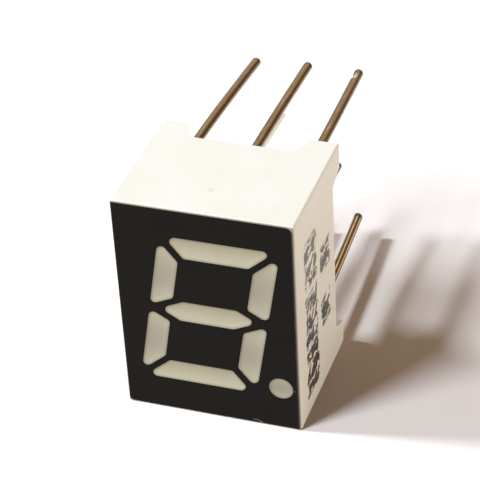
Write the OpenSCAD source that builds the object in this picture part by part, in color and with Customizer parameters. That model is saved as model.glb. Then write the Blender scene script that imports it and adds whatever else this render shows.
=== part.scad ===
// Single digit seven segment display with a decimal point, for a printed circuit board.
//
// Frame: millimetres, X to the right of the digit, Z up the digit, Y from the face to the pins.
// The origin is the centre of the pin pattern, on the seating plane that the stand-off tips reach.

/* [Housing] */
// Width of the housing across the digit
housing_w = 7.5; // [7.3:0.1:9]
// Height of the housing along the digit
housing_h = 10; // [9.7:0.1:12]
// Depth from the black face to the stand-off tips
housing_d = 6.1; // [5:0.1:8]
// Thickness of the four side walls
wall_t = 0.6; // [0.4:0.05:0.65]
// Radius of the four long edges of the housing
edge_r = 0.1; // [0.06:0.02:0.4]
// Radius of the edge round the face and round the stand-off tips
rim_r = 0.05; // [0.03:0.01:0.15]
// Radius of the inside corners of the back pocket
pocket_r = 0.15; // [0.1:0.05:0.3]

/* [Stand-offs] */
// How far the corner stand-offs reach past the edge of the side walls
standoff_h = 1; // [0.5:0.1:1.5]
// Length of each leg of a stand-off along the wall, at its tip
tip_leg = 1.1; // [0.8:0.05:1.3]
// Length of each leg of a stand-off along the wall, at its root
root_leg = 1.5; // [1.35:0.05:1.8]

/* [Digit] */
// Height of the digit over its outer edges
digit_h = 7.1; // [6.5:0.05:7.3]
// Width of the digit before it is slanted
digit_w = 4.95; // [4.6:0.05:5.1]
// Slant of the digit in degrees
slant = 10; // [0:0.5:12]
// Height of the three level bars
bar_h = 0.95; // [0.8:0.01:1.05]
// Width of the four upright bars
bar_w = 0.93; // [0.8:0.01:1.05]
// Gap between the mitred ends of neighbouring bars
bar_gap = 0.3; // [0.2:0.01:0.35]
// How far inside the digit's side the middle mitres meet
waist = 0.1; // [0:0.01:0.15]
// Radius of the corners of every bar
bar_r = 0.2; // [0.05:0.01:0.22]
// Shift of the digit to the right of the housing's middle
digit_x = 0.05; // [-0.1:0.01:0.1]
// Shift of the digit above the housing's middle
digit_z = 0.13; // [-0.2:0.01:0.2]

/* [Decimal point] */
// Diameter of the decimal point
point_d = 1; // [0.8:0.02:1.1]
// Distance of the decimal point to the right of the housing's middle
point_x = 2.95; // [2.9:0.01:3]
// Distance of the decimal point below the housing's middle
point_z = 2.96; // [2.85:0.01:3.1]

/* [Face] */
// Thickness of the black mask on the face
mask_t = 0.05; // [0.03:0.01:0.1]
// Width of the white rim that the mask leaves bare
mask_margin = 0.06; // [0.05:0.01:0.2]

/* [Light wells] */
// Depth of the straight mouth of each well, behind the mask
well_land = 0.5; // [0.3:0.05:1]
// Share of a bar's length that its well keeps at the board
well_length_ratio = 0.6; // [0.5:0.01:0.8]
// Share of a bar's width that its well keeps at the board
well_width_ratio = 0.88; // [0.85:0.01:0.95]
// Share of its diameter that the decimal point's well keeps at the board
point_ratio = 0.78; // [0.75:0.01:0.9]
// How far the decimal point's well leans to the middle at the board
point_lean = 0.22; // [0.2:0.01:0.26]

/* [Circuit board] */
// Thickness of the board
board_t = 0.8; // [0.6:0.05:1]
// Depth of the board's back face below the edge of the side walls
board_recess = 0.8; // [0.6:0.05:1]
// Clearance between the board's edge and the pocket
board_gap = 0.05; // [0.03:0.01:0.1]
// Thickness of the copper on the front of the board
copper_t = 0.035; // [0.02:0.005:0.07]
// Width of a copper track
track_w = 0.16; // [0.1:0.01:0.2]
// Side of the square copper pad under each chip
die_pad_w = 0.34; // [0.3:0.01:0.36]
// Side of the square copper pad where each bond wire lands
lead_pad_w = 0.2; // [0.16:0.01:0.22]
// Diameter of the copper ring round each pin
ring_d = 0.8; // [0.7:0.02:0.84]

/* [Chips] */
// Side of each light-emitting chip
chip_w = 0.28; // [0.2:0.01:0.28]
// Thickness of each light-emitting chip
chip_t = 0.2; // [0.12:0.01:0.25]
// Distance from the middle of a chip to the pad of its bond wire
wire_span = 0.4; // [0.36:0.01:0.42]
// Straight rise of a bond wire off its chip
wire_rise = 0.08; // [0.04:0.01:0.2]
// Diameter of the bond wire
wire_d = 0.05; // [0.03:0.005:0.06]

/* [Pins] */
// Pitch of the pins: the rows lie one pitch apart, and so do neighbours in the outer rows
pin_pitch = 2.54; // [2.5:0.01:2.56]
// Diameter of a pin
pin_d = 0.4; // [0.35:0.01:0.45]
// Reach of the pins past the seating plane
pin_reach = 7.4; // [3:0.1:10]
// Radial clearance of a pin in the board's holes
hole_gap = 0.05; // [0.03:0.01:0.08]
// Radial clearance of a pin in the solder, the copper and the resin
fit_gap = 0.01; // [0.005:0.001:0.02]

/* [Resin and solder] */
// Depth of the resin's back surface below the edge of the side walls
resin_recess = 0.35; // [0.25:0.01:0.4]
// Radius of the collar of resin that climbs each pin
collar_r = 0.38; // [0.3:0.01:0.4]
// Height of the collar of resin that climbs each pin
collar_h = 0.16; // [0.1:0.01:0.2]
// Diameter of the solder on the back of the board round each pin
solder_d = 0.76; // [0.66:0.02:0.84]
// Height of the solder up each pin
solder_h = 0.18; // [0.12:0.01:0.2]

/* [Hidden] */
$fn = 48;
arc_steps = 6;       // straight steps in one rounded corner of a bar
fillet_steps = 4;    // straight steps in the hollow side of solder and collars
over = 1;            // how far a cut runs past the face that it opens

half_w = housing_w / 2;
half_h = housing_h / 2;
face_y = -housing_d;                  // front of the mask and of the bars
housing_y = face_y + mask_t;          // front of the moulding
wall_y = -standoff_h;                 // back edge of the side walls
board_back_y = wall_y - board_recess;
board_y = board_back_y - board_t;
seat_y = board_y - copper_t;          // where the moulding's ribs rest on the copper
resin_y = wall_y - resin_recess;
pocket_w = housing_w - 2 * wall_t;
pocket_h = housing_h - 2 * wall_t;
pin_r = pin_d / 2;

// Light wells, in the order a, b, c, d, e, f, g and the decimal point
LETTERS = ["a", "b", "c", "d", "e", "f", "g"];
POINT = 7;
G = 6;
// Angle at which each chip's bond wire leaves it
WIRE_ANGLES = [90, 0, 180, -90, 180, 180, 90, -90];

// Steps of half a pitch from the middle to each pin, numbered round from the bottom left corner
PIN_STEPS = [
    [-2, -3], [0, -3], [2, -3], [1, -1], [1, 1],
    [2, 3], [0, 3], [-2, 3], [-1, 1], [-1, -1]
];
PIN_COUNT = len(PIN_STEPS);
// The two pins that every chip shares, by their index in the steps
SHARED_PIN_INDEX = [8, 9];
// The pin of each well's own wire, by its index in the steps
WIRE_PIN_INDEX = [6, 5, 3, 1, 0, 7, 4, 2];
// The chips that run straight to each shared pin, and the pairs of chips that are joined in a chain
CHIP_INDEX_BY_SHARED_PIN = [[5], [3, 4, 6]];
CHIP_INDEX_PAIRS = [[0, 5], [0, 1], [1, 2], [2, 7]];

// ---- Outlines of the digit ----

function total(list, i = 0) = i < len(list) ? list[i] + total(list, i + 1) : [0, 0];
function middle(points) = total(points) / len(points);

// A point of the upright digit, leaned over by the slant and put in its place on the face
function leaned(p) = [digit_x + p[0] + p[1] * tan(slant), digit_z + p[1]];

// One corner at q, between p and s, as an arc of radius r that touches both sides
function corner(p, q, s, r) =
    let (
        to_p = (p - q) / norm(p - q),
        to_s = (s - q) / norm(s - q),
        half = acos(to_p * to_s) / 2,
        centre = q + (to_p + to_s) / norm(to_p + to_s) * r / sin(half),
        from = q + to_p * r / tan(half) - centre,
        to = q + to_s * r / tan(half) - centre,
        start = atan2(from[1], from[0]),
        turn = atan2(from[0] * to[1] - from[1] * to[0], from * to)
    )
    [for (k = [0 : arc_steps])
        centre + r * [cos(start + turn * k / arc_steps), sin(start + turn * k / arc_steps)]];

function rounded(points, r) =
    let (n = len(points))
    [for (i = [0 : n - 1]) each corner(points[(i + n - 1) % n], points[i], points[(i + 1) % n], r)];

side = digit_w / 2;                        // outer edge of the upright bars
top = digit_h / 2;                         // outer edge of the level bars
inner = side - bar_w;
mitre = bar_gap / sqrt(2);                 // shift along a side that opens half the corner gap
half_bar = bar_h / 2;
waist_angle = atan(half_bar / bar_w);      // slope of the mitres at the middle bar
waist_up = bar_gap / 2 / cos(waist_angle) - waist * tan(waist_angle);
waist_in = bar_gap / 2 / sin(waist_angle) + waist;

// The sharp outlines of the upright digit's top, upper right and middle bars
TOP_BAR = [[-side + mitre, top], [side - mitre, top],
           [inner - mitre, top - bar_h], [-inner + mitre, top - bar_h]];
UPPER_BAR = [[side, waist_up], [side, top - mitre],
             [inner, top - bar_h - mitre], [inner, waist_up + half_bar]];
MIDDLE_BAR = [[side - waist_in, 0], [inner - waist_in, half_bar], [-inner + waist_in, half_bar],
              [-side + waist_in, 0], [-inner + waist_in, -half_bar], [inner - waist_in, -half_bar]];

function flip_x(points) = [for (p = points) [-p[0], p[1]]];
function flip_z(points) = [for (p = points) [p[0], -p[1]]];

BARS = [TOP_BAR, UPPER_BAR, flip_z(UPPER_BAR), flip_z(TOP_BAR),
        flip_x(flip_z(UPPER_BAR)), flip_x(UPPER_BAR), MIDDLE_BAR];

function is_level(i) = i == 0 || i == 3 || i == G;
function bar_outline(i) = [for (p = rounded(BARS[i], bar_r)) leaned(p)];

// The middle of a well where it meets the board
function well_middle(i) =
    i == POINT ? [point_x - point_lean, -point_z] : leaned(middle(BARS[i]));
// The middle of a well's chip and of the pad that its bond wire lands on
function wire_side(i) = [cos(WIRE_ANGLES[i]), sin(WIRE_ANGLES[i])];
function chip_at(i) = well_middle(i) - wire_side(i) * wire_span / 2;
function lead_at(i) = well_middle(i) + wire_side(i) * wire_span / 2;
function pin_at(k) = PIN_STEPS[k] * pin_pitch / 2;

// ---- Placing helpers ----

// Puts a shape drawn in the digit's plane at depth y, and extrudes towards the pins
module from_depth(y) {
    translate([0, y, 0]) rotate([-90, 0, 0]) mirror([0, 1, 0]) children();
}

// A rectangle with round corners, about the middle
module round_rect(w, h, r) {
    square([w - 2 * r, h], center = true);
    square([w, h - 2 * r], center = true);
    for (sx = [-1, 1], sz = [-1, 1])
        translate([sx * (w / 2 - r), sz * (h / 2 - r)]) circle(r);
}

// A block with round long edges between two depths
module round_block(w, h, r, y_from, y_to) {
    from_depth(y_from) linear_extrude(y_to - y_from) round_rect(w, h, r);
}

// A straight round rod along Y
module rod(at, r, y_from, y_to) {
    translate([at[0], y_from, at[1]]) rotate([-90, 0, 0]) cylinder(r = r, h = y_to - y_from);
}

// A hollow-sided cone that climbs a pin of radius r_in from depth y
module climbing_ring(at, y, r_in, r_out, h) {
    r_curve = r_out - r_in;
    translate([at[0], y, at[1]]) rotate([-90, 0, 0]) rotate_extrude()
        polygon([[r_in, 0], for (k = [0 : fillet_steps])
            let (a = 90 * k / fillet_steps) [r_out - r_curve * sin(a), h * (1 - cos(a))]]);
}

// ---- Light wells ----

module well_outline(i) {
    if (i == POINT) translate([point_x, -point_z]) circle(point_d / 2);
    else polygon(bar_outline(i));
}

// A well from depth y to the board: a straight mouth, then a funnel that narrows round the chip
module light_well(i, y) {
    funnel_y = face_y + well_land;
    ratio = i == POINT ? [point_ratio, point_ratio]
         : is_level(i) ? [well_length_ratio, well_width_ratio]
         : [well_width_ratio, well_length_ratio];
    // The point that the funnel shrinks towards
    goal = i == POINT ? [point_x - point_lean / (1 - point_ratio), -point_z] : well_middle(i);
    from_depth(y) linear_extrude(funnel_y - y) well_outline(i);
    from_depth(funnel_y) translate(goal) linear_extrude(seat_y - funnel_y, scale = ratio, slices = 1)
        translate(-goal) well_outline(i);
}

// The space of a chip in the resin, and of its bond wire with a little room
module chip_space(i) {
    led_chip(i);
    bond_wire(i, fit_gap);
}

module casting(i) {
    color([0.78, 0.77, 0.64]) difference() {
        light_well(i, face_y);
        chip_space(i);
    }
}

// ---- Moulding and mask ----

// The block that the housing is cut from: three round-edged profiles crossed
module housing_block() {
    depth = -housing_y;
    centre_y = housing_y / 2;
    intersection() {
        round_block(housing_w, housing_h, edge_r, housing_y, 0);
        translate([0, centre_y, -half_h]) linear_extrude(housing_h) round_rect(housing_w, depth, rim_r);
        translate([-half_w, centre_y, 0]) rotate([90, 0, 90])
            linear_extrude(housing_w) round_rect(depth, housing_h, rim_r);
    }
}

// The gap between two stand-offs of walls `half` from the middle, wider at the tips, as a cut `length` long
module standoff_gap(half, length) {
    tip = half - tip_leg;
    root = half - root_leg;
    translate([0, 0, -length / 2]) linear_extrude(length)
        polygon([[-tip, over], [-tip, 0], [-root, wall_y], [root, wall_y], [tip, 0], [tip, over]]);
}

// What is cut away past the side walls, so that only the corner stand-offs stay
module standoff_cut() {
    standoff_gap(half_w, housing_h + 2 * over);
    rotate([0, 90, 0]) standoff_gap(half_h, housing_w + 2 * over);
}

module housing() {
    color([0.95, 0.94, 0.9]) difference() {
        housing_block();
        round_block(pocket_w, pocket_h, pocket_r, seat_y, over);
        standoff_cut();
        for (i = [0 : POINT]) light_well(i, housing_y - over);
    }
}

module face_mask() {
    mask_r = max(edge_r - mask_margin, rim_r);
    color([0.13, 0.12, 0.11]) from_depth(face_y) linear_extrude(mask_t) difference() {
        round_rect(housing_w - 2 * mask_margin, housing_h - 2 * mask_margin, mask_r);
        for (i = [0 : POINT]) well_outline(i);
    }
}

// ---- Board, copper, chips and wires ----

module circuit_board() {
    gap = 2 * board_gap;
    color([0.75, 0.7, 0.5]) difference() {
        round_block(pocket_w - gap, pocket_h - gap, pocket_r, board_y, board_back_y);
        for (k = [0 : PIN_COUNT - 1]) rod(pin_at(k), pin_r + hole_gap, board_y - over, board_back_y + over);
    }
}

// A straight track with round ends, in the digit's plane
module track(p, q) {
    run = q - p;
    translate(p) circle(track_w / 2);
    translate(q) circle(track_w / 2);
    translate(p) rotate(atan2(run[1], run[0])) translate([0, -track_w / 2]) square([norm(run), track_w]);
}

// The copper that every chip stands on, led to the two shared pins
module shared_tracks() {
    track(pin_at(SHARED_PIN_INDEX[0]), pin_at(SHARED_PIN_INDEX[1]));
    for (s = [0, 1], i = CHIP_INDEX_BY_SHARED_PIN[s]) track(chip_at(i), pin_at(SHARED_PIN_INDEX[s]));
    for (pair = CHIP_INDEX_PAIRS) track(chip_at(pair[0]), chip_at(pair[1]));
}

module copper_tracks() {
    color([0.72, 0.45, 0.2]) from_depth(seat_y) linear_extrude(copper_t) difference() {
        union() {
            shared_tracks();
            for (i = [0 : POINT]) {
                track(lead_at(i), pin_at(WIRE_PIN_INDEX[i]));
                translate(chip_at(i)) square(die_pad_w, center = true);
                translate(lead_at(i)) square(lead_pad_w, center = true);
            }
            for (k = [0 : PIN_COUNT - 1]) translate(pin_at(k)) circle(ring_d / 2);
        }
        for (k = [0 : PIN_COUNT - 1]) translate(pin_at(k)) circle(pin_r + fit_gap);
    }
}

module led_chip(i) {
    corner = chip_at(i) - [chip_w, chip_w] / 2;
    color([0.55, 0.55, 0.6]) translate([corner[0], seat_y - chip_t, corner[1]])
        cube([chip_w, chip_t, chip_w]);
}

// A bond wire: up off the chip, over in a half circle, and down to its copper pad
module bond_wire(i, room) {
    r = wire_d / 2 + room;
    bend_y = seat_y - chip_t - wire_rise;
    color([0.85, 0.7, 0.3]) {
        rod(chip_at(i), r, bend_y, seat_y - chip_t);
        rod(lead_at(i), r, bend_y, seat_y);
        translate([well_middle(i)[0], bend_y, well_middle(i)[1]]) rotate([0, -WIRE_ANGLES[i], 0])
            rotate([180, 0, 0]) rotate_extrude(angle = 180) translate([wire_span / 2, 0]) circle(r);
    }
}

module bond_wires() {
    for (i = [0 : POINT]) bond_wire(i, 0);
}

// ---- Pins, solder and back resin ----

// A pin, flush with the copper in front and domed at its tip
module pin(k) {
    color([0.62, 0.5, 0.3]) {
        rod(pin_at(k), pin_r, seat_y, pin_reach - pin_r);
        translate([pin_at(k)[0], pin_reach - pin_r, pin_at(k)[1]]) rotate([90, 0, 0]) sphere(pin_r);
    }
}

module solder_joints() {
    color([0.7, 0.7, 0.72]) for (k = [0 : PIN_COUNT - 1])
        climbing_ring(pin_at(k), board_back_y, pin_r + fit_gap, solder_d / 2, solder_h);
}

module back_resin() {
    color([0.85, 0.83, 0.7]) difference() {
        union() {
            round_block(pocket_w, pocket_h, pocket_r, board_back_y, resin_y);
            for (k = [0 : PIN_COUNT - 1])
                climbing_ring(pin_at(k), resin_y, pin_r + fit_gap, collar_r, collar_h);
        }
        for (k = [0 : PIN_COUNT - 1]) rod(pin_at(k), pin_r + fit_gap, board_back_y - over, over);
        solder_joints();
    }
}

housing();
face_mask();
casting(POINT);  // decimal_point
circuit_board();
copper_tracks();
led_chip(POINT);  // led_chip_point
bond_wires();
solder_joints();
back_resin();
for (i = [0 : G]) {
    casting(i);
    led_chip(i);
}
for (k = [0 : PIN_COUNT - 1])
    pin(k);
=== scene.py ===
"""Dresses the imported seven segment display: finishes, castings, pins, poured back and a plain stage."""

import bpy
import numpy as np
from bpy.props import FloatProperty, FloatVectorProperty, PointerProperty
from mathutils import Matrix, Vector


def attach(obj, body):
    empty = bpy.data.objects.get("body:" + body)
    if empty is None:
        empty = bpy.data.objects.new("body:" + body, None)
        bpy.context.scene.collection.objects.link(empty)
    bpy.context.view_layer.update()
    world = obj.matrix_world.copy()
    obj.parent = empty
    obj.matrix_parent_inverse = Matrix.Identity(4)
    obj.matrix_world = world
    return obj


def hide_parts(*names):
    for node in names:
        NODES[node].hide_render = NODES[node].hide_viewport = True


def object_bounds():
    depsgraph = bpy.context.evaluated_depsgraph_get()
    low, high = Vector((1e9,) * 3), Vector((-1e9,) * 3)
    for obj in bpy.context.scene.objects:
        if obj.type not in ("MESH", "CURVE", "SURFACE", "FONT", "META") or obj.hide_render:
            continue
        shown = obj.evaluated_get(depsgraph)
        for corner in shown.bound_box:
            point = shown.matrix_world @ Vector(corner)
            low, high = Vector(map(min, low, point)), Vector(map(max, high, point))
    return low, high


bl_info = {
    "name": "Seven Segment Display",
    "version": (1, 0, 0),
    "blender": (4, 5, 0),
    "location": "3D View > Sidebar > Display",
    "description": "Builds the castings, pins, back resin and finishes of a single digit display",
    "category": "Object",
}

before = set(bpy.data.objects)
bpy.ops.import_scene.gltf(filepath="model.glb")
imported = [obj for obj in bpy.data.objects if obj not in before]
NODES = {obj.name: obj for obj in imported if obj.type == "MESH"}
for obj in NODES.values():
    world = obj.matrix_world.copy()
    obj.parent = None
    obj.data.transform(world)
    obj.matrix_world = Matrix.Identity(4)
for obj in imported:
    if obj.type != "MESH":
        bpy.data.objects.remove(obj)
CAD_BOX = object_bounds()

MM = 0.001
BODY = "root"

# Everything below is in millimetres unless it says otherwise. Places on the face are x and z.
DIGIT_AT = np.array([0.05, 0.13])
POINT_AT = np.array([2.95, -2.96])
POINT_RADIUS = 0.5
POINT_LEAN = 0.22                  # how far the point's well leans in on its way to the board
FACE_Y, MOUTH_Y, SEAT_Y = -6.1, -5.6, -2.635
BOARD_BACK_Y, RESIN_Y = -1.8, -1.35
POCKET_HALF = np.array([3.15, 4.4])
PRINT_HALF = np.array([3.69, 4.94])
PIN_TIP_Y, PIN_RADIUS, PIN_PITCH = 7.4, 0.2, 2.54

# What a funnel keeps of its mouth at the board: along a bar, across a bar, and of the point's width
KEEP_ALONG, KEEP_ACROSS, KEEP_POINT = 0.6, 0.88, 0.78
WAIST = 0.1                        # how far in from the digit's side the mitres at the middle bar meet

LETTERS = "abcdefg"
LEVEL_BARS = "adg"

# Half pitches from the middle to each pin, numbered round from the bottom left corner
PIN_STEPS = [(-2, -3), (0, -3), (2, -3), (1, -1), (1, 1), (2, 3), (0, 3), (-2, 3), (-1, 1), (-1, -1)]
# How far each pin's tip has been pushed sideways and upwards
PIN_LEANS = {
    1: (0.10, 0.02), 2: (-0.05, 0.03), 3: (-0.236, 0.027), 4: (0.16, 0.20), 5: (0.04, -0.03),
    6: (-0.05, 0.05), 7: (0.20, 0.09), 8: (0.38, -0.02), 9: (0.16, -0.05), 10: (-0.04, 0.04),
}
# How much further out a pin's tip was cut
PIN_LONGER = {3: 0.15}
# A notch in a pin: how far before its tip, where round it in degrees, and how deep
NOTCHES = {6: (0.55, 140, 0.16)}
# Lengthwise dark bands and bright lines painted round a pin as its reflections: how many, where the first
# dark band lies round the pin in degrees, and contrast. Every pin that isn't listed has the few.
PAINTED_BANDS = {3: (7, 57, 1.0)}
FEW_PAINTED_BANDS = (4, 40, 0.62)
# How strongly a pin is painted pale as a reflection, 0 for none
PAINTED_REFLECTION = {9: 0.8}

# The castings' resins, as lighter and darker copies of one resin in painted shade: brightness against the
# level bars', the greyer colour of the painted shade, and whether that shade runs up the bar or round its
# middle
RESIN_PAINTED_SHADES = {
    "level_bar": (1.0, "#C3C0A7", True),
    "upright_bar": (0.955, "#BAB8A6", False),
    "point": (0.9, "#B1AF9B", False),
}

# Shares of red, green and blue that the moulding keeps where it has yellowed, and the ink where it is brown
YELLOWED = (0.99, 0.985, 0.965)
BROWNED = (1.12, 0.98, 1.0)
# A scuff on the top wall: its middle and radius
SCUFF_AT, SCUFF_RADIUS = (-0.11, -4.45, 5.0), 0.2
# Blocks of worn marks on the right wall: from y, to y, from z, to z
MARK_BLOCKS = [
    (-4.95, -3.5, 1.05, 3.3), (-5.0, -3.5, -4.2, 0.75),
    (-2.95, -1.65, 0.5, 1.8), (-2.95, -1.75, -2.1, -0.75),
]
# Scratches and rubbed places on the face: start, end, half width, and strength from 0 to 1
WORN_STROKES = [
    ((1.70, -4.83), (1.86, -4.80), 0.03, 0.4), ((1.86, -4.80), (1.98, -4.87), 0.03, 0.5),
    ((1.98, -4.87), (2.08, -4.92), 0.035, 0.75), ((3.50, -2.98), (3.56, -3.04), 0.03, 0.2),
]
# Corners of the print that are rubbed round: right or left, up or down, and radius
WORN_CORNERS = [(1, 1, 0.28), (-1, -1, 0.2)]

# The lamps: degrees from the left towards the front, degrees over the table, width in metres, share of a
# white table's radiance, and tint
LAMP_DISTANCE = 0.5                # metres
LAMPS = {
    "left_softbox": (9, 42.3, 0.06, 0.455, (0.97, 1.005, 1.045)),
    "front_softbox": (49, 46, 0.15, 0.53, (0.97, 1.005, 1.055)),
    "right_fill": (180, 4, 0.05, 0.032, (1.0, 0.90, 0.81)),
    "back_fill": (262, 8, 0.1, 0.022, (1.0, 0.93, 0.86)),
}
TABLE_HALF = 0.35                  # metres
# Linear colours: what the table and the world give as light, and what is seen of them
TABLE_GIVES, TABLE_SHOWS = (0.50, 0.43, 0.36, 1), (1.0, 0.985, 0.985, 1)
WORLD_GIVES, WORLD_SHOWS = (0.15, 0.083, 0.041, 1), (1, 1, 1, 1)

# Settings that many nodes share. A colour mix has its factor at input 0 and its colours at 6 and 7, and gives
# output 2.
SMOOTH = {"interpolation_type": "SMOOTHSTEP"}
COLOURS = {"data_type": "RGBA"}
COLOUR_FIELD = {"subtype": "COLOR_GAMMA", "size": 3, "min": 0, "max": 1}


# ---- Sizes and colours that a user would change ----

class DisplaySizes(bpy.types.PropertyGroup):
    """Sizes in millimetres."""

    digit_height: FloatProperty(
        name="Digit height", description="Height of the digit, mm", default=7.1, min=6.5, max=7.3)
    digit_width: FloatProperty(
        name="Digit width", description="Width of the digit before it leans, mm",
        default=4.95, min=4.6, max=5.1)
    slant: FloatProperty(
        name="Slant", description="Lean of the digit, degrees", default=10.0, min=0.0, max=12.0)
    level_bar: FloatProperty(
        name="Level bar", description="Height of the level bars, mm", default=0.95, min=0.8, max=1.05)
    upright_bar: FloatProperty(
        name="Upright bar", description="Width of the upright bars, mm", default=0.93, min=0.8, max=1.05)
    bar_gap: FloatProperty(
        name="Bar gap", description="Gap between mitred ends, mm", default=0.3, min=0.2, max=0.35)
    bar_radius: FloatProperty(
        name="Bar corner", description="Radius of the bars' corners, mm", default=0.2, min=0.05, max=0.22)
    dish: FloatProperty(
        name="Dish", description="How far the resin's face sinks in the middle, mm",
        default=0.02, min=0.0, max=0.05)
    wall_climb: FloatProperty(
        name="Wall climb", description="Climb of the back resin at the walls, mm",
        default=0.16, min=0.0, max=0.3)
    pin_climb: FloatProperty(
        name="Pin climb", description="Climb of the back resin at the pins, mm",
        default=0.2, min=0.0, max=0.3)


class DisplayColours(bpy.types.PropertyGroup):
    """Colours as sRGB values."""

    moulding: FloatVectorProperty(
        name="Moulding", description="White of the moulded body",
        default=(0.927, 0.932, 0.907), **COLOUR_FIELD)
    face_ink: FloatVectorProperty(
        name="Face ink", description="Black of the printed face",
        default=(0.078, 0.072, 0.06), **COLOUR_FIELD)
    resin: FloatVectorProperty(
        name="Bar resin", description="Milky resin of the bars",
        default=(0.83, 0.832, 0.744), **COLOUR_FIELD)
    wire: FloatVectorProperty(
        name="Pin", description="Tarnished metal of the pins",
        default=(0.54, 0.43, 0.265), **COLOUR_FIELD)


class StageSettings(bpy.types.PropertyGroup):
    """Camera."""

    azimuth: FloatProperty(
        name="Azimuth", description="Camera's turn to the right of the face, degrees", default=20.466)
    elevation: FloatProperty(
        name="Elevation", description="Camera's height over the face's normal, degrees", default=35.294)
    roll: FloatProperty(name="Roll", description="Camera's roll, degrees", default=-3.414)
    distance: FloatProperty(
        name="Distance", description="Camera's distance from its aim, mm", default=76.452)
    lens: FloatProperty(name="Lens", description="Focal length on a 36 mm sensor, mm", default=145.75)
    aim: FloatVectorProperty(
        name="Aim", description="Point that the camera looks at, mm", size=3, default=(1.54, -6.05, 3.693))


# ---- Small helpers ----

def srgb(value):
    """A linear RGBA colour from an sRGB hex string or from three sRGB values."""
    if isinstance(value, str):
        value = [int(value[i:i + 2], 16) / 255 for i in (1, 3, 5)]
    v = np.asarray(value, dtype=float)[:3]
    linear = np.where(v <= 0.04045, v / 12.92, ((v + 0.055) / 1.055) ** 2.4)
    return (*[float(c) for c in linear], 1.0)


def scaled(colour, shares):
    """Three sRGB values, each multiplied by its share."""
    return [c * share for c, share in zip(colour, shares)]


def new_material(name):
    """A material without nodes, and its node tree."""
    material = bpy.data.materials.new(name)
    material.use_nodes = True
    material.node_tree.nodes.clear()
    return material, material.node_tree


def node(tree, kind, inputs=(), **settings):
    """Adds a node with its settings and links, and gives its outputs.

    kind is the type's name without "ShaderNode". inputs are its first inputs in order, or a dict by name or
    number. A socket is linked, and anything else is set.
    """
    new = tree.nodes.new("ShaderNode" + kind)
    for name, value in settings.items():
        setattr(new, name, value)
    by_key = inputs if isinstance(inputs, dict) else dict(enumerate(inputs))
    for key, value in by_key.items():
        if isinstance(value, bpy.types.NodeSocket):
            tree.links.new(value, new.inputs[key])
        else:
            new.inputs[key].default_value = value
    return new.outputs


def object_mm(tree, stretch=(1, 1, 1), shift=(0, 0, 0)):
    """The place on the object in millimetres, multiplied by stretch and then shifted."""
    at = node(tree, "TexCoord")["Object"]
    return node(tree, "Mapping", {"Vector": at, "Location": shift, "Scale": [s / MM for s in stretch]})[0]


def unevenness(tree, size, detail=3.0, roughness=0.55, stretch=(1, 1, 1), shift=(0, 0, 0)):
    """A soft, cloudy pattern on the object from 0 to 1, with features about `size` mm wide, or longer along
    an axis whose stretch is less than 1."""
    at = object_mm(tree, stretch, shift)
    return node(tree, "TexNoise", {
        "Vector": at, "Scale": 1 / size, "Detail": detail, "Roughness": roughness,
    })["Fac"]


def stained(tree, under, over, pattern, low, high, most=1.0):
    """The colour `under`, with `over` laid on it: not at all at pattern = low, and by `most` at high."""
    cover = node(tree, "MapRange", [pattern, low, high, 0.0, most], **SMOOTH)[0]
    return node(tree, "Mix", {0: cover, 6: under, 7: over}, **COLOURS)[2]


def shade(tree, colour, roughness, relief, depth, **constants):
    """Ends a material with its surface shader. relief is a 0 to 1 pattern that is `depth` mm deep."""
    bump = node(tree, "Bump", {"Height": relief, "Strength": 1.0, "Distance": depth * MM})[0]
    inputs = {name.replace("_", " "): value for name, value in constants.items()}
    inputs.update({"Base Color": colour, "Roughness": roughness, "Normal": bump})
    surface = node(tree, "BsdfPrincipled", inputs)[0]
    node(tree, "OutputMaterial", {"Surface": surface})


def finish_node(name, material):
    """Gives a carried-over solid its finish."""
    mesh = NODES[name].data
    mesh.materials.clear()
    mesh.materials.append(material)


def add_piece(name, vertices, faces, material, replaced, smooth_angle):
    """A piece from vertices in millimetres, which stands for the solid `replaced`."""
    mesh = bpy.data.meshes.new(name)
    mesh.from_pydata((np.asarray(vertices) * MM).tolist(), [], faces)
    mesh.validate()
    mesh.materials.append(material)
    piece = bpy.data.objects.new(name, mesh)
    bpy.context.scene.collection.objects.link(piece)
    mesh.shade_smooth()
    mesh.set_sharp_from_angle(angle=np.radians(smooth_angle))
    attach(piece, BODY)
    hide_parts(replaced)
    return piece


def add_values(piece, name, values):
    """Keeps one number a vertex on the mesh, for its material."""
    attribute = piece.data.attributes.new(name, "FLOAT", "POINT")
    attribute.data.foreach_set("value", np.asarray(values, dtype=np.float32))


def ring_faces(rings, around):
    """Quads between `rings` closed rings of `around` points, and a fan from each end ring to its pole.

    The two poles are the points that follow the last ring.
    """
    i, k = np.meshgrid(np.arange(rings - 1), np.arange(around), indexing="ij")
    a = i * around + k
    b = i * around + (k + 1) % around
    quads = np.stack([a + around, b + around, b, a], axis=-1).reshape(-1, 4)
    k, pole, last = np.arange(around), np.full(around, rings * around), (rings - 1) * around
    start = np.stack([k, (k + 1) % around, pole], axis=-1)
    end = np.stack([last + (k + 1) % around, last + k, pole + 1], axis=-1)
    return quads.tolist() + start.tolist() + end.tolist()


# ---- Patterns ----

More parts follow.
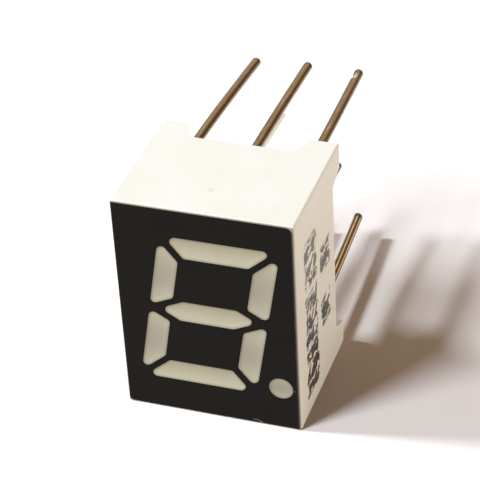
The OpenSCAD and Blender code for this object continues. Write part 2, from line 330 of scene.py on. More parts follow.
def stroke(tree, at, start, end, half_width):
    """1 on a straight stroke across the face from start to end, falling to 0 at half_width.

    The nearest point of the stroke is start + t (end - start), where t is the dot product of the way from
    start with (end - start) / length^2, kept between 0 and 1.
    """
    run = Vector((end[0] - start[0], 0, end[1] - start[1]))
    to_start = (-start[0], 0, -start[1])
    from_start = node(tree, "VectorMath", [at, (1, 0, 1), to_start], operation="MULTIPLY_ADD")[0]
    along = node(tree, "VectorMath", [from_start, run / run.length_squared], operation="DOT_PRODUCT")["Value"]
    along = node(tree, "Math", [along, 1.0], operation="MULTIPLY", use_clamp=True)[0]
    nearest = node(tree, "VectorMath", {0: run, "Scale": along}, operation="SCALE")[0]
    away = node(tree, "VectorMath", [from_start, nearest], operation="DISTANCE")["Value"]
    return node(tree, "MapRange", [away, half_width * 0.3, half_width, 1.0, 0.0], **SMOOTH)[0]


def spot(tree, at, centre, radius):
    """1 inside a round spot, falling to 0 at its radius."""
    away = node(tree, "VectorMath", [at, centre], operation="DISTANCE")["Value"]
    return node(tree, "MapRange", [away, radius * 0.4, radius, 1.0, 0.0], **SMOOTH)[0]


def between(tree, value, low, high, soft):
    """1 where value lies between low and high, with soft sides."""
    up = node(tree, "MapRange", [value, low - soft, low + soft], **SMOOTH)[0]
    down = node(tree, "MapRange", [value, high - soft, high + soft], **SMOOTH)[0]
    return node(tree, "Math", [up, down], operation="SUBTRACT", use_clamp=True)[0]


def rubbed_corner(tree, at, right, up, radius):
    """1 outside the arc that rounds one corner of the print, 0 inside it."""
    inset = (radius - PRINT_HALF[0], 0, radius - PRINT_HALF[1])
    past = node(tree, "VectorMath", [at, (right, 0, up), inset], operation="MULTIPLY_ADD")[0]
    past = node(tree, "VectorMath", [past, (0, 0, 0)], operation="MAXIMUM")[0]
    reach = node(tree, "VectorMath", [past], operation="LENGTH")["Value"]
    return node(tree, "MapRange", [reach, radius * 0.9, radius * 1.06], **SMOOTH)[0]


def worn_marks(tree, at):
    """How much of the worn ink lies at a place on the right wall, from 0 to 1.

    The strokes are the borders of leaning cells about 0.62 mm across, 0.2 mm wide at the top and 0.25 mm at
    the bottom. They have run together in places, are rubbed bare in rows 0.83 mm apart and have flaked.
    """
    x, y, z = node(tree, "SeparateXYZ", [at])
    smear = unevenness(tree, 0.5, 3.0, 0.6)
    leaned_y = node(tree, "Math", [z, -0.3, y], operation="MULTIPLY_ADD")[0]
    uneven_z = node(tree, "Math", [smear, 0.5, z], operation="MULTIPLY_ADD")[0]
    leaned = node(tree, "CombineXYZ", [0.0, leaned_y, uneven_z])[0]
    cells = node(tree, "TexVoronoi", {"Vector": leaned, "Scale": 1 / 0.62}, feature="DISTANCE_TO_EDGE")
    heavier = node(tree, "MapRange", [z, 1.0, -3.6, 0.0, 0.035], **SMOOTH)[0]
    border = node(tree, "Math", [cells["Distance"], heavier], operation="SUBTRACT")[0]
    lines = node(tree, "MapRange", [border, 0.125, 0.205, 1.0, 0.0], **SMOOTH)[0]
    runs = node(tree, "MapRange", [smear, 0.52, 0.62, 0.0, 0.95], **SMOOTH)[0]
    printed = node(tree, "Math", [lines, runs], operation="MAXIMUM")[0]

    waver = node(tree, "Math", [smear, 6.0], operation="MULTIPLY")[0]
    turn = node(tree, "Math", [z, 7.6, waver], operation="MULTIPLY_ADD")[0]
    row = node(tree, "Math", [turn], operation="SINE")[0]
    bare = node(tree, "MapRange", [row, 0.75, 0.97, 0.0, 0.8], **SMOOTH)[0]
    flakes = unevenness(tree, 0.12, 2.0, 0.6)
    flaked = node(tree, "MapRange", [flakes, 0.58, 0.7, 0.0, 0.5], **SMOOTH)[0]
    gone = node(tree, "Math", [bare, flaked], operation="MAXIMUM")[0]
    strokes = node(tree, "Math", [printed, gone], operation="SUBTRACT", use_clamp=True)[0]

    wobble = node(tree, "Math", [smear, 0.5], operation="SUBTRACT")[0]
    ragged_y = node(tree, "Math", [wobble, 0.9, y], operation="MULTIPLY_ADD")[0]
    blocks = 0.0
    for y0, y1, z0, z1 in MARK_BLOCKS:
        sides = [between(tree, ragged_y, y0, y1, 0.05), between(tree, z, z0, z1, 0.12)]
        block = node(tree, "Math", sides, operation="MULTIPLY")[0]
        blocks = node(tree, "Math", [blocks, block], operation="MAXIMUM")[0]

    just_inside = CAD_BOX[1][0] / MM - 0.005
    on_wall = node(tree, "Math", [x, just_inside], operation="GREATER_THAN")[0]
    fade = node(tree, "MapRange", [z, -3.6, 3.2, 1.0, 0.87], **SMOOTH)[0]
    ink = strokes
    for share in (blocks, on_wall, fade):
        ink = node(tree, "Math", [ink, share], operation="MULTIPLY")[0]
    return ink


# ---- Finishes ----

def moulded_polycarbonate(colour):
    """White polycarbonate, injection moulded: opaque and satin, with a spark-eroded grain and faint yellowish
    clouds."""
    material, tree = new_material("white_moulded_polycarbonate")
    at = object_mm(tree)
    clouds = unevenness(tree, 2.5)
    white = stained(tree, srgb(colour), srgb(scaled(colour, YELLOWED)), clouds, 0.3, 0.7)
    # A faint scuff that has caught some dust
    scuff = [spot(tree, at, SCUFF_AT, SCUFF_RADIUS), unevenness(tree, 0.12)]
    pit = node(tree, "Math", scuff, operation="MULTIPLY")[0]
    dust = node(tree, "Math", [pit, 0.4], operation="MULTIPLY")[0]
    white = node(tree, "Mix", {0: dust, 6: white, 7: srgb("#A9A79C")}, **COLOURS)[2]
    white = node(tree, "Mix", {0: worn_marks(tree, at), 6: white, 7: srgb("#0E0503")}, **COLOURS)[2]
    rough = node(tree, "Math", [clouds, 0.08, 0.42], operation="MULTIPLY_ADD")[0]
    relief = node(tree, "Math", [unevenness(tree, 0.06, 2.0), pit], operation="SUBTRACT")[0]
    shade(tree, white, rough, relief, 0.004, IOR=1.58)
    return material


def printed_face_ink(colour):
    """Black epoxy ink, screen printed: nearly matt, with a fine mesh grain, faint clouds and pale specks,
    rubbed through in a few scratches and at two corners, and paler along the right edge, where the ink thins
    and a highlight of the housing's rounded edge is painted."""
    material, tree = new_material("black_screen_printed_ink")
    at = object_mm(tree)
    clouds = unevenness(tree, 2.0)
    black = stained(tree, srgb(colour), srgb(scaled(colour, BROWNED)), clouds, 0.35, 0.65)
    black = stained(tree, black, srgb("#5A5248"), unevenness(tree, 0.09, 2.0, 0.7), 0.72, 0.8, 0.12)
    worn = 0.0
    for start, end, half_width, strength in WORN_STROKES:
        mark = [stroke(tree, at, start, end, half_width), strength]
        mark = node(tree, "Math", mark, operation="MULTIPLY")[0]
        worn = node(tree, "Math", [worn, mark], operation="MAXIMUM")[0]
    for right, up, radius in WORN_CORNERS:
        corner = rubbed_corner(tree, at, right, up, radius)
        worn = node(tree, "Math", [worn, corner], operation="MAXIMUM")[0]
    # Towards the right edge the ink thins, and a highlight of the housing's rounded edge is painted on it
    x = node(tree, "SeparateXYZ", [at])["X"]
    uneven_x = node(tree, "Math", [clouds, 0.06, x], operation="MULTIPLY_ADD")[0]
    thin_ink_and_highlight = node(tree, "MapRange", [uneven_x, 3.63, 3.73, 0.0, 0.3], **SMOOTH)[0]
    gone = node(tree, "Math", [worn, thin_ink_and_highlight], operation="MAXIMUM")[0]
    black = node(tree, "Mix", {0: gone, 6: black, 7: srgb("#B7AEA2")}, **COLOURS)[2]
    relief = node(tree, "Math", [unevenness(tree, 0.05, 2.0), worn], operation="SUBTRACT")[0]
    shade(tree, black, 0.6, relief, 0.004, Specular_IOR_Level=0.1)
    return material


def cast_resin(name, pale, shade_grey, shade_up_the_bar):
    """Diffused epoxy, cast: milky and satin. Painted shade makes it greyer towards the top of a level bar, or
    towards the middle of any other casting, and darker in a narrow rim."""
    material, tree = new_material(name)
    edge = node(tree, "Attribute", attribute_name="edge_mm")["Fac"]
    rise = node(tree, "Attribute", attribute_name="rise")["Fac"]
    # Painted shade: greyer up a level bar, or towards the middle of the other castings
    turn = rise
    if not shade_up_the_bar:
        turn = node(tree, "Math", [rise], operation="ABSOLUTE")[0]
        turn = node(tree, "Math", [1.0, turn], operation="SUBTRACT")[0]
    wobble = node(tree, "Math", [unevenness(tree, 0.8), 0.5], operation="SUBTRACT")[0]
    turn = node(tree, "Math", [wobble, 0.4, turn], operation="MULTIPLY_ADD")[0]
    body = stained(tree, srgb(pale), srgb(shade_grey), turn, -0.6 if shade_up_the_bar else 0.1, 0.9)
    # Painted shade: a darker rim along the outline, where the well's walls shade the resin
    body = stained(tree, body, srgb("#7E7A62"), edge, 0.13, -0.02, 0.6)
    shade(tree, body, 0.4, unevenness(tree, 0.08, 2.0), 0.002, IOR=1.52, Specular_IOR_Level=0.35)
    return material


def tarnished_wire(colour):
    """Drawn copper-alloy wire, plated and tarnished: streaks along the wire, painted reflections as dark
    bands and bright lines round it, bright where it has been cut, and pale where a pin's reflection is
    painted."""
    material, tree = new_material("tarnished_drawn_wire")
    # Streaks 0.07 mm wide and twenty times as long, coarser than the real draw lines so that they show
    streaks = unevenness(tree, 0.07, 3.0, 0.65, stretch=(1, 0.05, 1))
    reddish = unevenness(tree, 0.35, 2.0, stretch=(1, 0.25, 1), shift=(3, 0, 5))
    olive = unevenness(tree, 0.3, 2.0, stretch=(1, 0.3, 1), shift=(9, 4, 2))
    spots = unevenness(tree, 0.12, 3.0, stretch=(1, 0.5, 1), shift=(7, 2, 1))
    # 1 in a painted dark reflection band and -1 on a painted bright line between two, with uneven borders
    side = node(tree, "Attribute", attribute_name="side")["Fac"]
    wobble = node(tree, "Math", [streaks, 0.5], operation="SUBTRACT")[0]
    painted_band = node(tree, "Math", [wobble, 1.1, side], operation="MULTIPLY_ADD")[0]
    y = node(tree, "SeparateXYZ", [object_mm(tree)])["Y"]
    brass = srgb(colour)
    for pattern, low, high, most, tone in (
        (reddish, 0.46, 0.6, 0.6, "#966B51"),
        (olive, 0.5, 0.62, 0.7, "#7E6C32"),
        (streaks, 0.54, 0.7, 0.4, "#CDB384"),
        # Painted reflections: dark bands and bright lines round the pin
        (painted_band, -0.15, 0.5, 0.95, "#452B12"),
        (painted_band, -0.5, -0.95, 0.65, "#EBD9A4"),
        (spots, 0.6, 0.72, 0.4, "#4A3724"),
        (y, PIN_TIP_Y - 0.25, PIN_TIP_Y - 0.1, 0.75, "#2E2318"),
    ):
        brass = stained(tree, brass, srgb(tone), pattern, low, high, most)
    # Bare metal at the notch, and the painted reflection that makes a pin pale
    bare = node(tree, "Attribute", attribute_name="bare")["Fac"]
    brass = node(tree, "Mix", {0: bare, 6: brass, 7: srgb("#F2EFE2")}, **COLOURS)[2]
    rough = node(tree, "Math", [streaks, 0.2, 0.14], operation="MULTIPLY_ADD")[0]
    shade(tree, brass, rough, streaks, 0.006, Metallic=1.0)
    return material


def potting_resin():
    """Epoxy, poured: pale, milky and glossy, with a slightly uneven surface."""
    material, tree = new_material("poured_potting_epoxy")
    clouds = unevenness(tree, 1.6)
    body = stained(tree, srgb("#DDD8C4"), srgb("#CFC8AE"), clouds, 0.3, 0.7)
    body = stained(tree, body, srgb("#9C957C"), unevenness(tree, 0.11, 1.0), 0.74, 0.8, 0.3)
    shade(tree, body, 0.18, clouds, 0.02, IOR=1.52, Coat_Weight=0.3, Coat_Roughness=0.08)
    return material


def board_laminate():
    """Glass cloth and epoxy laminate, sawn: translucent yellow-green with the weave just showing."""
    material, tree = new_material("glass_epoxy_laminate")
    # A turn of 14 radians a millimetre sets the threads of the cloth 0.45 mm apart
    threads = node(tree, "VectorMath", [object_mm(tree, (14, 14, 14))], operation="SINE")[0]
    across, _, up = node(tree, "SeparateXYZ", [threads])
    weave = node(tree, "Math", [across, up], operation="MULTIPLY")[0]
    body = stained(tree, srgb("#B9AE74"), srgb("#C9BF88"), weave, -0.6, 0.6)
    shade(tree, body, 0.35, weave, 0.004, IOR=1.55)
    return material


def plain_metal(name, colour, dark, size, roughness):
    """A metal surface with cloudy tarnish `size` mm wide."""
    material, tree = new_material(name)
    tarnish = unevenness(tree, size, 4.0)
    body = stained(tree, srgb(colour), srgb(dark), tarnish, 0.4, 0.75)
    rough = node(tree, "Math", [tarnish, 0.2, roughness], operation="MULTIPLY_ADD")[0]
    shade(tree, body, rough, tarnish, 0.002, Metallic=1.0)
    return material


def sawn_crystal():
    """Gallium phosphide crystal, sawn: amber and glassy, with saw lines on its sides."""
    material, tree = new_material("sawn_gallium_phosphide")
    saw = unevenness(tree, 0.05, 2.0, stretch=(0.2, 3, 0.2))
    body = stained(tree, srgb("#B98A4A"), srgb("#8C5E2C"), saw, 0.35, 0.65)
    rough = node(tree, "Math", [saw, 0.3, 0.15], operation="MULTIPLY_ADD")[0]
    shade(tree, body, rough, saw, 0.003, IOR=2.0)
    return material


# ---- Shapes ----

def corner_arc(before, at, after, radius, steps=6):
    """The points of an arc of `radius` that touches both sides of the corner `at`."""
    to_before = (before - at) / np.linalg.norm(before - at)
    to_after = (after - at) / np.linalg.norm(after - at)
    half = np.arccos(to_before @ to_after) / 2
    middle = to_before + to_after
    centre = at + middle / np.linalg.norm(middle) * radius / np.sin(half)
    first = at + to_before * radius / np.tan(half) - centre
    last = at + to_after * radius / np.tan(half) - centre
    start = np.arctan2(first[1], first[0])
    turn = np.arctan2(first[0] * last[1] - first[1] * last[0], first @ last)
    angles = start + turn * np.linspace(0, 1, steps + 1)
    return centre + radius * np.stack([np.cos(angles), np.sin(angles)], axis=1)


def bar_outlines(sizes):
    """Each bar's rounded outline in the leaned digit, counter-clockwise, and its middle, as x and z."""
    side, top = sizes.digit_width / 2, sizes.digit_height / 2
    inner, half = side - sizes.upright_bar, sizes.level_bar / 2
    mitre = sizes.bar_gap / np.sqrt(2)
    angle = np.arctan(half / sizes.upright_bar)
    waist_up = sizes.bar_gap / 2 / np.cos(angle) - WAIST * np.tan(angle)
    waist_in = sizes.bar_gap / 2 / np.sin(angle) + WAIST
    level = np.array([[-side + mitre, top], [side - mitre, top],
                      [inner - mitre, top - 2 * half], [-inner + mitre, top - 2 * half]])
    upright = np.array([[side, waist_up], [side, top - mitre],
                        [inner, top - 2 * half - mitre], [inner, waist_up + half]])
    middle = np.array([[side - waist_in, 0], [inner - waist_in, half], [-inner + waist_in, half],
                       [-side + waist_in, 0], [-inner + waist_in, -half], [inner - waist_in, -half]])
    left, down = np.array([-1, 1]), np.array([1, -1])
    sharp = [level, upright, upright * down, level * down, upright * -1, upright * left, middle]
    lean = np.array([[1, 0], [np.tan(np.radians(sizes.slant)), 1]])
    outlines = {}
    for letter, p in zip(LETTERS, sharp):
        area = np.sum(p[:, 0] * np.roll(p[:, 1], -1) - np.roll(p[:, 0], -1) * p[:, 1])
        p = p if area > 0 else p[::-1]
        n = len(p)
        arcs = [corner_arc(p[i - 1], p[i], p[(i + 1) % n], sizes.bar_radius) for i in range(n)]
        outlines[letter] = (DIGIT_AT + np.concatenate(arcs) @ lean, DIGIT_AT + p.mean(axis=0) @ lean)
    return outlines


def point_outline():
    """The circle of the decimal point, as x and z: middle + radius (cos a, sin a)."""
    a = np.linspace(0, 2 * np.pi, 96, endpoint=False)
    return POINT_AT + POINT_RADIUS * np.stack([np.cos(a), np.sin(a)], axis=1)


def evenly(line, count):
    """`count` points at equal steps along a closed line, by linear interpolation of its length."""
    closed = np.vstack([line, line[:1]])
    reach = np.concatenate([[0], np.cumsum(np.linalg.norm(np.diff(closed, axis=0), axis=1))])
    want = np.linspace(0, reach[-1], count, endpoint=False)
    return np.stack([np.interp(want, reach, closed[:, i]) for i in (0, 1)], axis=1)


def distance_to_line(points, line):
    """The least distance of each point to the sides of a closed line."""
    a, b = line, np.roll(line, -1, axis=0)
    run = b - a
    t = np.einsum("pi,ki->pk", points, run) - np.einsum("ki,ki->k", a, run)
    t = np.clip(t / np.maximum(np.einsum("ki,ki->k", run, run), 1e-12), 0, 1)
    near = a[None] + t[..., None] * run[None]
    return np.linalg.norm(points[:, None] - near, axis=2).min(axis=1)


def casting_mesh(line, keep, goal, dish):
    """A casting in a tapered well, with each vertex's distance to its outline and its place up the casting.

    Front: rings P(k, t) = middle + t (line(k) - middle), closer together towards the middle, sunk by
    dish * (1 - exp(-d / climb)), where d is the distance to the outline. Sides: the outline carried straight
    to the mouth's depth, then shrunk to `keep` of its width and height about goal at the board.
    """
    around, inward, climb = 160, 24, 0.18
    line = evenly(line, around)
    middle = line.mean(axis=0)
    t = np.linspace(1, 0, inward + 1)[:-1] ** 1.4
    flat = (middle + t[:, None, None] * (line[None] - middle)).reshape(-1, 2)
    d = distance_to_line(flat, line)
    y = FACE_Y + dish * (1 - np.exp(-d / climb))
    front = np.stack([flat[:, 0], y, flat[:, 1]], axis=1).reshape(inward, around, 3)[::-1]
    small = goal + (line - goal) * keep
    mouth = np.stack([line[:, 0], np.full(around, MOUTH_Y), line[:, 1]], axis=1)
    foot = np.stack([small[:, 0], np.full(around, SEAT_Y), small[:, 1]], axis=1)
    foot_middle = small.mean(axis=0)
    poles = [[middle[0], FACE_Y + dish, middle[1]], [foot_middle[0], SEAT_Y, foot_middle[1]]]
    vertices = np.concatenate([front.reshape(-1, 3), mouth, foot, poles])
    rings = inward + 2
    edge = np.zeros(len(vertices))
    edge[:len(flat)] = d.reshape(inward, around)[::-1].ravel()
    edge[rings * around] = distance_to_line(middle[None], line)[0]
    low, high = line[:, 1].min(), line[:, 1].max()
    rise = np.clip(2 * (vertices[:, 2] - low) / (high - low) - 1, -1, 1)
    return vertices, ring_faces(rings, around), edge, rise


def add_casting(name, line, keep, goal, dish, material):
    """Builds the casting of one well."""
    vertices, faces, edge, rise = casting_mesh(line, keep, goal, dish)
    piece = add_piece(name + "_resin", vertices, faces, material, name, 50)
    add_values(piece, "edge_mm", edge)
    add_values(piece, "rise", rise)


def waves(u, seed, turns):
    """A smooth, repeating wobble of u in radians: a sum of seeded sines with the given turns."""
    rng = np.random.default_rng(seed)
    phases = rng.uniform(0, 2 * np.pi, len(turns))
    sizes = rng.uniform(0.4, 1, len(turns))
    return sum(a * np.sin(n * u + p) for n, p, a in zip(turns, phases, sizes)) / sizes.sum()


def pin_places():
    """The x and z of each pin."""
    return np.array(PIN_STEPS) * PIN_PITCH / 2


def pin_mesh(centre, tip, lean, seed, notch, painted_bands):
    """A drawn wire pin: P(a, s) = axis(s) + r(a, s)(cos a, sin a), with s along it and a round it.

    The axis starts straight and bows away by lean * (s / tip)^1.4 past the seating plane. The radius is R
    with draw lines of a hundredth of it, ends in a rounded nose, R (1 - w^2.6)^(1/2.6), and is less by
    depth * bare at the notch, where bare = exp(-(way along / 0.15)^4 - (angle / 1.1)^4). Also given are bare,
    and side = contrast * cos(count (a - first)), 1 in a painted dark reflection band and -1 on a painted
    bright line, both for the finish.
    """
    around, nose, power = 48, PIN_RADIUS * 0.6, 2.6
    body = np.linspace(SEAT_Y, tip - nose, 90)
    w = np.sin(np.linspace(0, np.pi / 2, 13)[1:-1])
    s = np.concatenate([body, tip - nose + nose * w])
    bulk = np.concatenate([np.ones(len(body)), (1 - w ** power) ** (1 / power)])
    a = np.linspace(0, 2 * np.pi, around, endpoint=False)
    bend = np.clip(s / tip, 0, 1) ** 1.4
    round_it, along_it = waves(a, seed, (5, 9, 14)), waves(s[:, None] * 1.7, seed + 50, (1, 2, 3))
    lines = 1 + 0.012 * round_it[None] + 0.006 * along_it
    r = PIN_RADIUS * bulk[:, None] * np.minimum(lines, 1.012)
    bare = np.zeros_like(r)
    if notch:
        before_tip, first, depth = notch
        angle = (a - np.radians(first) + np.pi) % (2 * np.pi) - np.pi
        bare = np.exp(-((s[:, None] - (tip - before_tip)) / 0.15) ** 4 - (angle[None] / 1.1) ** 4)
        r = r - depth * bare
    x = centre[0] + lean[0] * bend[:, None] + r * np.cos(a)[None]
    z = centre[1] + lean[1] * bend[:, None] + r * np.sin(a)[None]
    y = np.repeat(s[:, None], around, axis=1)
    poles = [[centre[0], SEAT_Y, centre[1]], [centre[0] + lean[0], tip, centre[1] + lean[1]]]
    vertices = np.concatenate([np.stack([x, y, z], axis=-1).reshape(-1, 3), poles])
    # The painted reflection bands round the pin
    count, first, contrast = painted_bands
    side = np.tile(contrast * np.cos(count * (a - np.radians(first))), len(s))
    return vertices, ring_faces(len(s), around), np.append(bare.ravel(), [0, 0]), np.append(side, [0, 0])


def resin_mesh(pins, wall_climb, pin_climb):
    """The poured back: a height field over the pocket, closed by its sides and floor.

    y = level + wall_climb exp(-d / 0.16) + sum of pin_climb exp(-(rho - r) / 0.1) + slow waves - bubbles,
    where d is the distance to the nearest wall and rho the distance to a pin's axis. A bubble of radius b is
    a pit of 0.6 b exp(-(distance / b)^2). The grid is closer at the walls: t - 0.06 sin(2 pi t) for even t.
    """
    def packed(half, count):
        t = np.linspace(0, 1, count)
        return -half + 2 * half * (t - 0.06 * np.sin(2 * np.pi * t))
    nx, nz = 150, 210
    x, z = np.meshgrid(packed(POCKET_HALF[0], nx), packed(POCKET_HALF[1], nz), indexing="ij")
    wall = np.minimum(POCKET_HALF[0] - np.abs(x), POCKET_HALF[1] - np.abs(z))
    y = RESIN_Y + wall_climb * np.exp(-wall / 0.16)
    rho = np.hypot(x[..., None] - pins[:, 0], z[..., None] - pins[:, 1])
    y = y + pin_climb * np.exp(-np.maximum(rho - PIN_RADIUS, 0) / 0.1).sum(axis=-1)
    y = y + 0.018 * waves(x * 0.9, 3, (1, 2)) + 0.018 * waves(z * 0.7 + x * 0.3, 4, (1, 2, 3))
    rng = np.random.default_rng(11)
    reach = POCKET_HALF - 0.3
    bubbles = rng.uniform([*-reach, 0.03], [*reach, 0.07], (14, 3))
    pit = np.hypot(x[..., None] - bubbles[:, 0], z[..., None] - bubbles[:, 1]) / bubbles[:, 2]
    y = y - (0.6 * bubbles[:, 2] * np.exp(-pit ** 2)).sum(axis=-1)
    top = np.stack([x, y, z], axis=-1).reshape(-1, 3)

    index = np.arange(nx * nz).reshape(nx, nz)
    quads = np.stack([index[:-1, :-1], index[:-1, 1:], index[1:, 1:], index[1:, :-1]], axis=-1).reshape(-1, 4)
    rim = np.concatenate([index[:-1, 0], index[-1, :-1], index[:0:-1, -1], index[0, :0:-1]])
    base = top[rim].copy()
    base[:, 1] = BOARD_BACK_Y
    n, first = len(rim), nx * nz
    k = np.arange(n)
    sides = np.stack([rim[k], rim[(k + 1) % n], first + (k + 1) % n, first + k], axis=-1)
    under = np.stack([first + k, first + (k + 1) % n, np.full(n, first + n)], axis=-1)
    vertices = np.concatenate([top, base, [[0, BOARD_BACK_Y, 0]]])
    return vertices, quads.tolist() + sides.tolist() + under.tolist()


# ---- Operators ----

class DISPLAY_OT_body(bpy.types.Operator):
    """Finishes the moulded body and the printed black face"""

    bl_idname = "display.body"
    bl_label = "Finish body and face"

    def execute(self, context):
        colours = context.scene.display_colours
        finish_node("housing", moulded_polycarbonate(colours.moulding))
        finish_node("face_mask", printed_face_ink(colours.face_ink))
        return {"FINISHED"}


class DISPLAY_OT_bars(bpy.types.Operator):
    """Builds the seven bars and the decimal point as castings in their wells"""

    bl_idname = "display.bars"
    bl_label = "Build bars and point"

    def execute(self, context):
        sizes, pale = context.scene.display_sizes, context.scene.display_colours.resin
        resins = {}
        # Copies of one resin, made lighter or darker for each kind of casting as painted shade
        for kind, (light, shade_grey, shade_up_the_bar) in RESIN_PAINTED_SHADES.items():
            resins[kind] = cast_resin("shaded_diffused_resin_" + kind, scaled(pale, [light] * 3), shade_grey, shade_up_the_bar)
        for letter, (line, goal) in bar_outlines(sizes).items():
            kind, keep = "upright_bar", (KEEP_ACROSS, KEEP_ALONG)
            if letter in LEVEL_BARS:
                kind, keep = "level_bar", (KEEP_ALONG, KEEP_ACROSS)
            add_casting("segment_" + letter, line, keep, goal, sizes.dish, resins[kind])
        # The place that the point's well shrinks towards, so that it has leaned in by the time it has shrunk
        goal = POINT_AT - np.array([POINT_LEAN / (1 - KEEP_POINT), 0])
        add_casting("decimal_point", point_outline(), KEEP_POINT, goal, sizes.dish, resins["point"])
        return {"FINISHED"}


class DISPLAY_OT_pins(bpy.types.Operator):
    """Builds the ten pins, leaning as handled ones do"""

    bl_idname = "display.pins"
    bl_label = "Build pins"

    def execute(self, context):
        metal = tarnished_wire(context.scene.display_colours.wire)
        for number, place in enumerate(pin_places(), start=1):
            name = f"pin_{number}"
            tip = PIN_TIP_Y + PIN_LONGER.get(number, 0)
            # The notch and the painted reflection bands of this pin
            notch, painted_bands = NOTCHES.get(number), PAINTED_BANDS.get(number, FEW_PAINTED_BANDS)
            vertices, faces, bare, side = pin_mesh(place, tip, PIN_LEANS[number], number, notch, painted_bands)
            piece = add_piece(name + "_wire", vertices, faces, metal, name, 60)
            # The painted reflection rides in the notch's bare attribute
            add_values(piece, "bare", np.maximum(bare, PAINTED_REFLECTION.get(number, 0)))
            add_values(piece, "side", side)
        return {"FINISHED"}


class DISPLAY_OT_back(bpy.types.Operator):
    """Builds the resin poured over the back of the board"""

    bl_idname = "display.back"
    bl_label = "Build back resin"

    def execute(self, context):
        sizes = context.scene.display_sizes
        vertices, faces = resin_mesh(pin_places(), sizes.wall_climb, sizes.pin_climb)
        add_piece("poured_back", vertices, faces, potting_resin(), "back_resin", 60)
        return {"FINISHED"}


class DISPLAY_OT_inside(bpy.types.Operator):
    """Finishes the board, its copper, the chips, the wires and the solder"""

    bl_idname = "display.inside"
    bl_label = "Finish inner parts"

    def execute(self, context):
        finish_node("circuit_board", board_laminate())
        finish_node("copper_tracks", plain_metal("etched_copper_foil", "#C98A5E", "#8E5436", 0.4, 0.28))
        finish_node("bond_wires", plain_metal("drawn_gold_wire", "#E8C572", "#C79E4A", 0.1, 0.2))
        finish_node("solder_joints", plain_metal("tin_solder", "#C9CBCD", "#9A9C9E", 0.25, 0.3))
        crystal = sawn_crystal()
        for well in (*LETTERS, "point"):
            finish_node("led_chip_" + well, crystal)
        return {"FINISHED"}


def is_looked_at(tree):
    """1 where a surface is seen by the lens, in a gloss or through glass, and 0 where it only gives light."""
    path = node(tree, "LightPath")
    seen = node(tree, "Math", [path["Is Camera Ray"], path["Is Glossy Ray"]], operation="MAXIMUM")[0]
    return node(tree, "Math", [seen, path["Is Transmission Ray"]], operation="MAXIMUM")[0]


def add_lamp(name, turn, rise, width, share, tint):
    """A round lamp aimed at the digit, whose power is pi^2 distance^2 share / sin(rise) in watts."""
    turn, rise = np.radians(turn), np.radians(rise)
    towards = Vector((-np.cos(turn) * np.cos(rise), -np.sin(turn) * np.cos(rise), np.sin(rise)))
    data = bpy.data.lights.new(name, "AREA")
    data.shape = "DISK"
    data.size = width
    data.color = tint
    data.energy = np.pi ** 2 * LAMP_DISTANCE ** 2 * share / np.sin(rise)
    lamp = bpy.data.objects.new(name, data)
    lamp.location = towards * LAMP_DISTANCE
    lamp.rotation_euler = towards.to_track_quat("Z", "Y").to_euler()
    bpy.context.scene.collection.objects.link(lamp)


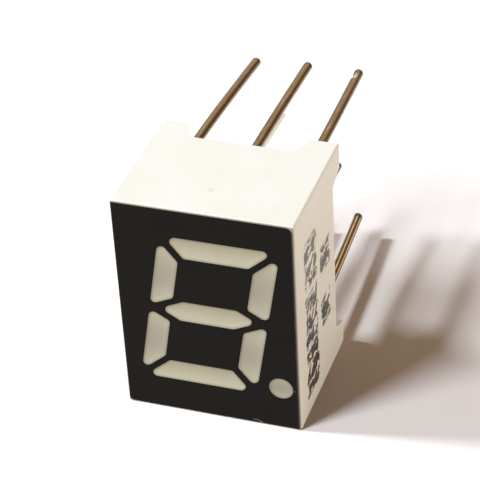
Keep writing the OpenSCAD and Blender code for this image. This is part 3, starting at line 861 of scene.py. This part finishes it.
class DISPLAY_OT_stage(bpy.types.Operator):
    """Adds the table, the light and the camera"""

    bl_idname = "display.stage"
    bl_label = "Set the stage"

    def execute(self, context):
        self.add_table()
        for name, values in LAMPS.items():
            add_lamp(name, *values)
        # The body throws no light back on the table, so its shadow stays as deep as under a small lamp
        NODES["housing"].visible_diffuse = False
        self.light_world(context.scene)
        self.add_camera(context.scene, context.scene.display_stage)
        return {"FINISHED"}

    def add_table(self):
        """A plain pale table under the body's bottom wall."""
        half, level = TABLE_HALF, CAD_BOX[0][2]
        corners = [(-half, -half, level), (half, -half, level), (half, half, level), (-half, half, level)]
        mesh = bpy.data.meshes.new("table")
        mesh.from_pydata(corners, [], [(0, 1, 2, 3)])
        material, tree = new_material("painted_table")
        # Warm where its light bounces; the lamps make it white to the lens outside the shadows
        colour = node(tree, "Mix", {0: is_looked_at(tree), 6: TABLE_GIVES, 7: TABLE_SHOWS}, **COLOURS)[2]
        surface = node(tree, "BsdfDiffuse", {"Color": colour})[0]
        node(tree, "OutputMaterial", {"Surface": surface})
        mesh.materials.append(material)
        obj = bpy.data.objects.new("table", mesh)
        bpy.context.scene.collection.objects.link(obj)

    def light_world(self, scene):
        """A weak warm light from all round: white to the lens and in reflections."""
        world = bpy.data.worlds.new("studio")
        world.use_nodes = True
        tree = world.node_tree
        tree.nodes.clear()
        colour = node(tree, "Mix", {0: is_looked_at(tree), 6: WORLD_GIVES, 7: WORLD_SHOWS}, **COLOURS)[2]
        surface = node(tree, "Background", {"Color": colour})[0]
        node(tree, "OutputWorld", {"Surface": surface})
        scene.world = world
        scene.view_settings.view_transform = "Standard"

    def add_camera(self, scene, settings):
        """The camera at its distance from the aim, turned, raised and rolled."""
        az, el, roll = (np.radians(v) for v in (settings.azimuth, settings.elevation, settings.roll))
        back = Vector((np.sin(az) * np.cos(el), -np.cos(az) * np.cos(el), np.sin(el)))
        right = (-back).cross(Vector((0, 0, 1))).normalized()
        up = right.cross(-back)
        right, up = np.cos(roll) * right + np.sin(roll) * up, -np.sin(roll) * right + np.cos(roll) * up
        data = bpy.data.cameras.new("camera")
        data.sensor_width = 36
        data.lens = settings.lens
        data.clip_start, data.clip_end = 0.001, 10
        camera = bpy.data.objects.new("camera", data)
        place = (Vector(settings.aim) + back * settings.distance) * MM
        camera.matrix_world = Matrix.Translation(place) @ Matrix((right, up, back)).transposed().to_4x4()
        scene.collection.objects.link(camera)
        scene.camera = camera


class DISPLAY_PT_panel(bpy.types.Panel):
    """Lists the display's sizes, colours and steps in the sidebar"""

    bl_idname = "DISPLAY_PT_panel"
    bl_label = "Seven Segment Display"
    bl_space_type = "VIEW_3D"
    bl_region_type = "UI"
    bl_category = "Display"

    def draw(self, context):
        for group in GROUPS:
            settings = getattr(context.scene, group)
            for name in settings.bl_rna.properties.keys():
                if name not in ("rna_type", "name"):
                    self.layout.prop(settings, name)
        for operator in OPERATORS:
            self.layout.operator(operator.bl_idname)


OPERATORS = (
    DISPLAY_OT_body, DISPLAY_OT_bars, DISPLAY_OT_pins, DISPLAY_OT_back, DISPLAY_OT_inside, DISPLAY_OT_stage,
)
GROUPS = {
    "display_sizes": DisplaySizes, "display_colours": DisplayColours, "display_stage": StageSettings,
}


def register():
    """Registers the classes and hangs the settings on the scene."""
    for kind in (*GROUPS.values(), *OPERATORS, DISPLAY_PT_panel):
        bpy.utils.register_class(kind)
    for name, group in GROUPS.items():
        setattr(bpy.types.Scene, name, PointerProperty(type=group))


def unregister():
    """Undoes register."""
    for name in GROUPS:
        delattr(bpy.types.Scene, name)
    for kind in (DISPLAY_PT_panel, *reversed(OPERATORS), *reversed(GROUPS.values())):
        bpy.utils.unregister_class(kind)


def main():
    """Builds everything in order."""
    register()
    for operator in OPERATORS:
        group, name = operator.bl_idname.split(".")
        getattr(getattr(bpy.ops, group), name)()


if __name__ == "__main__":
    main()
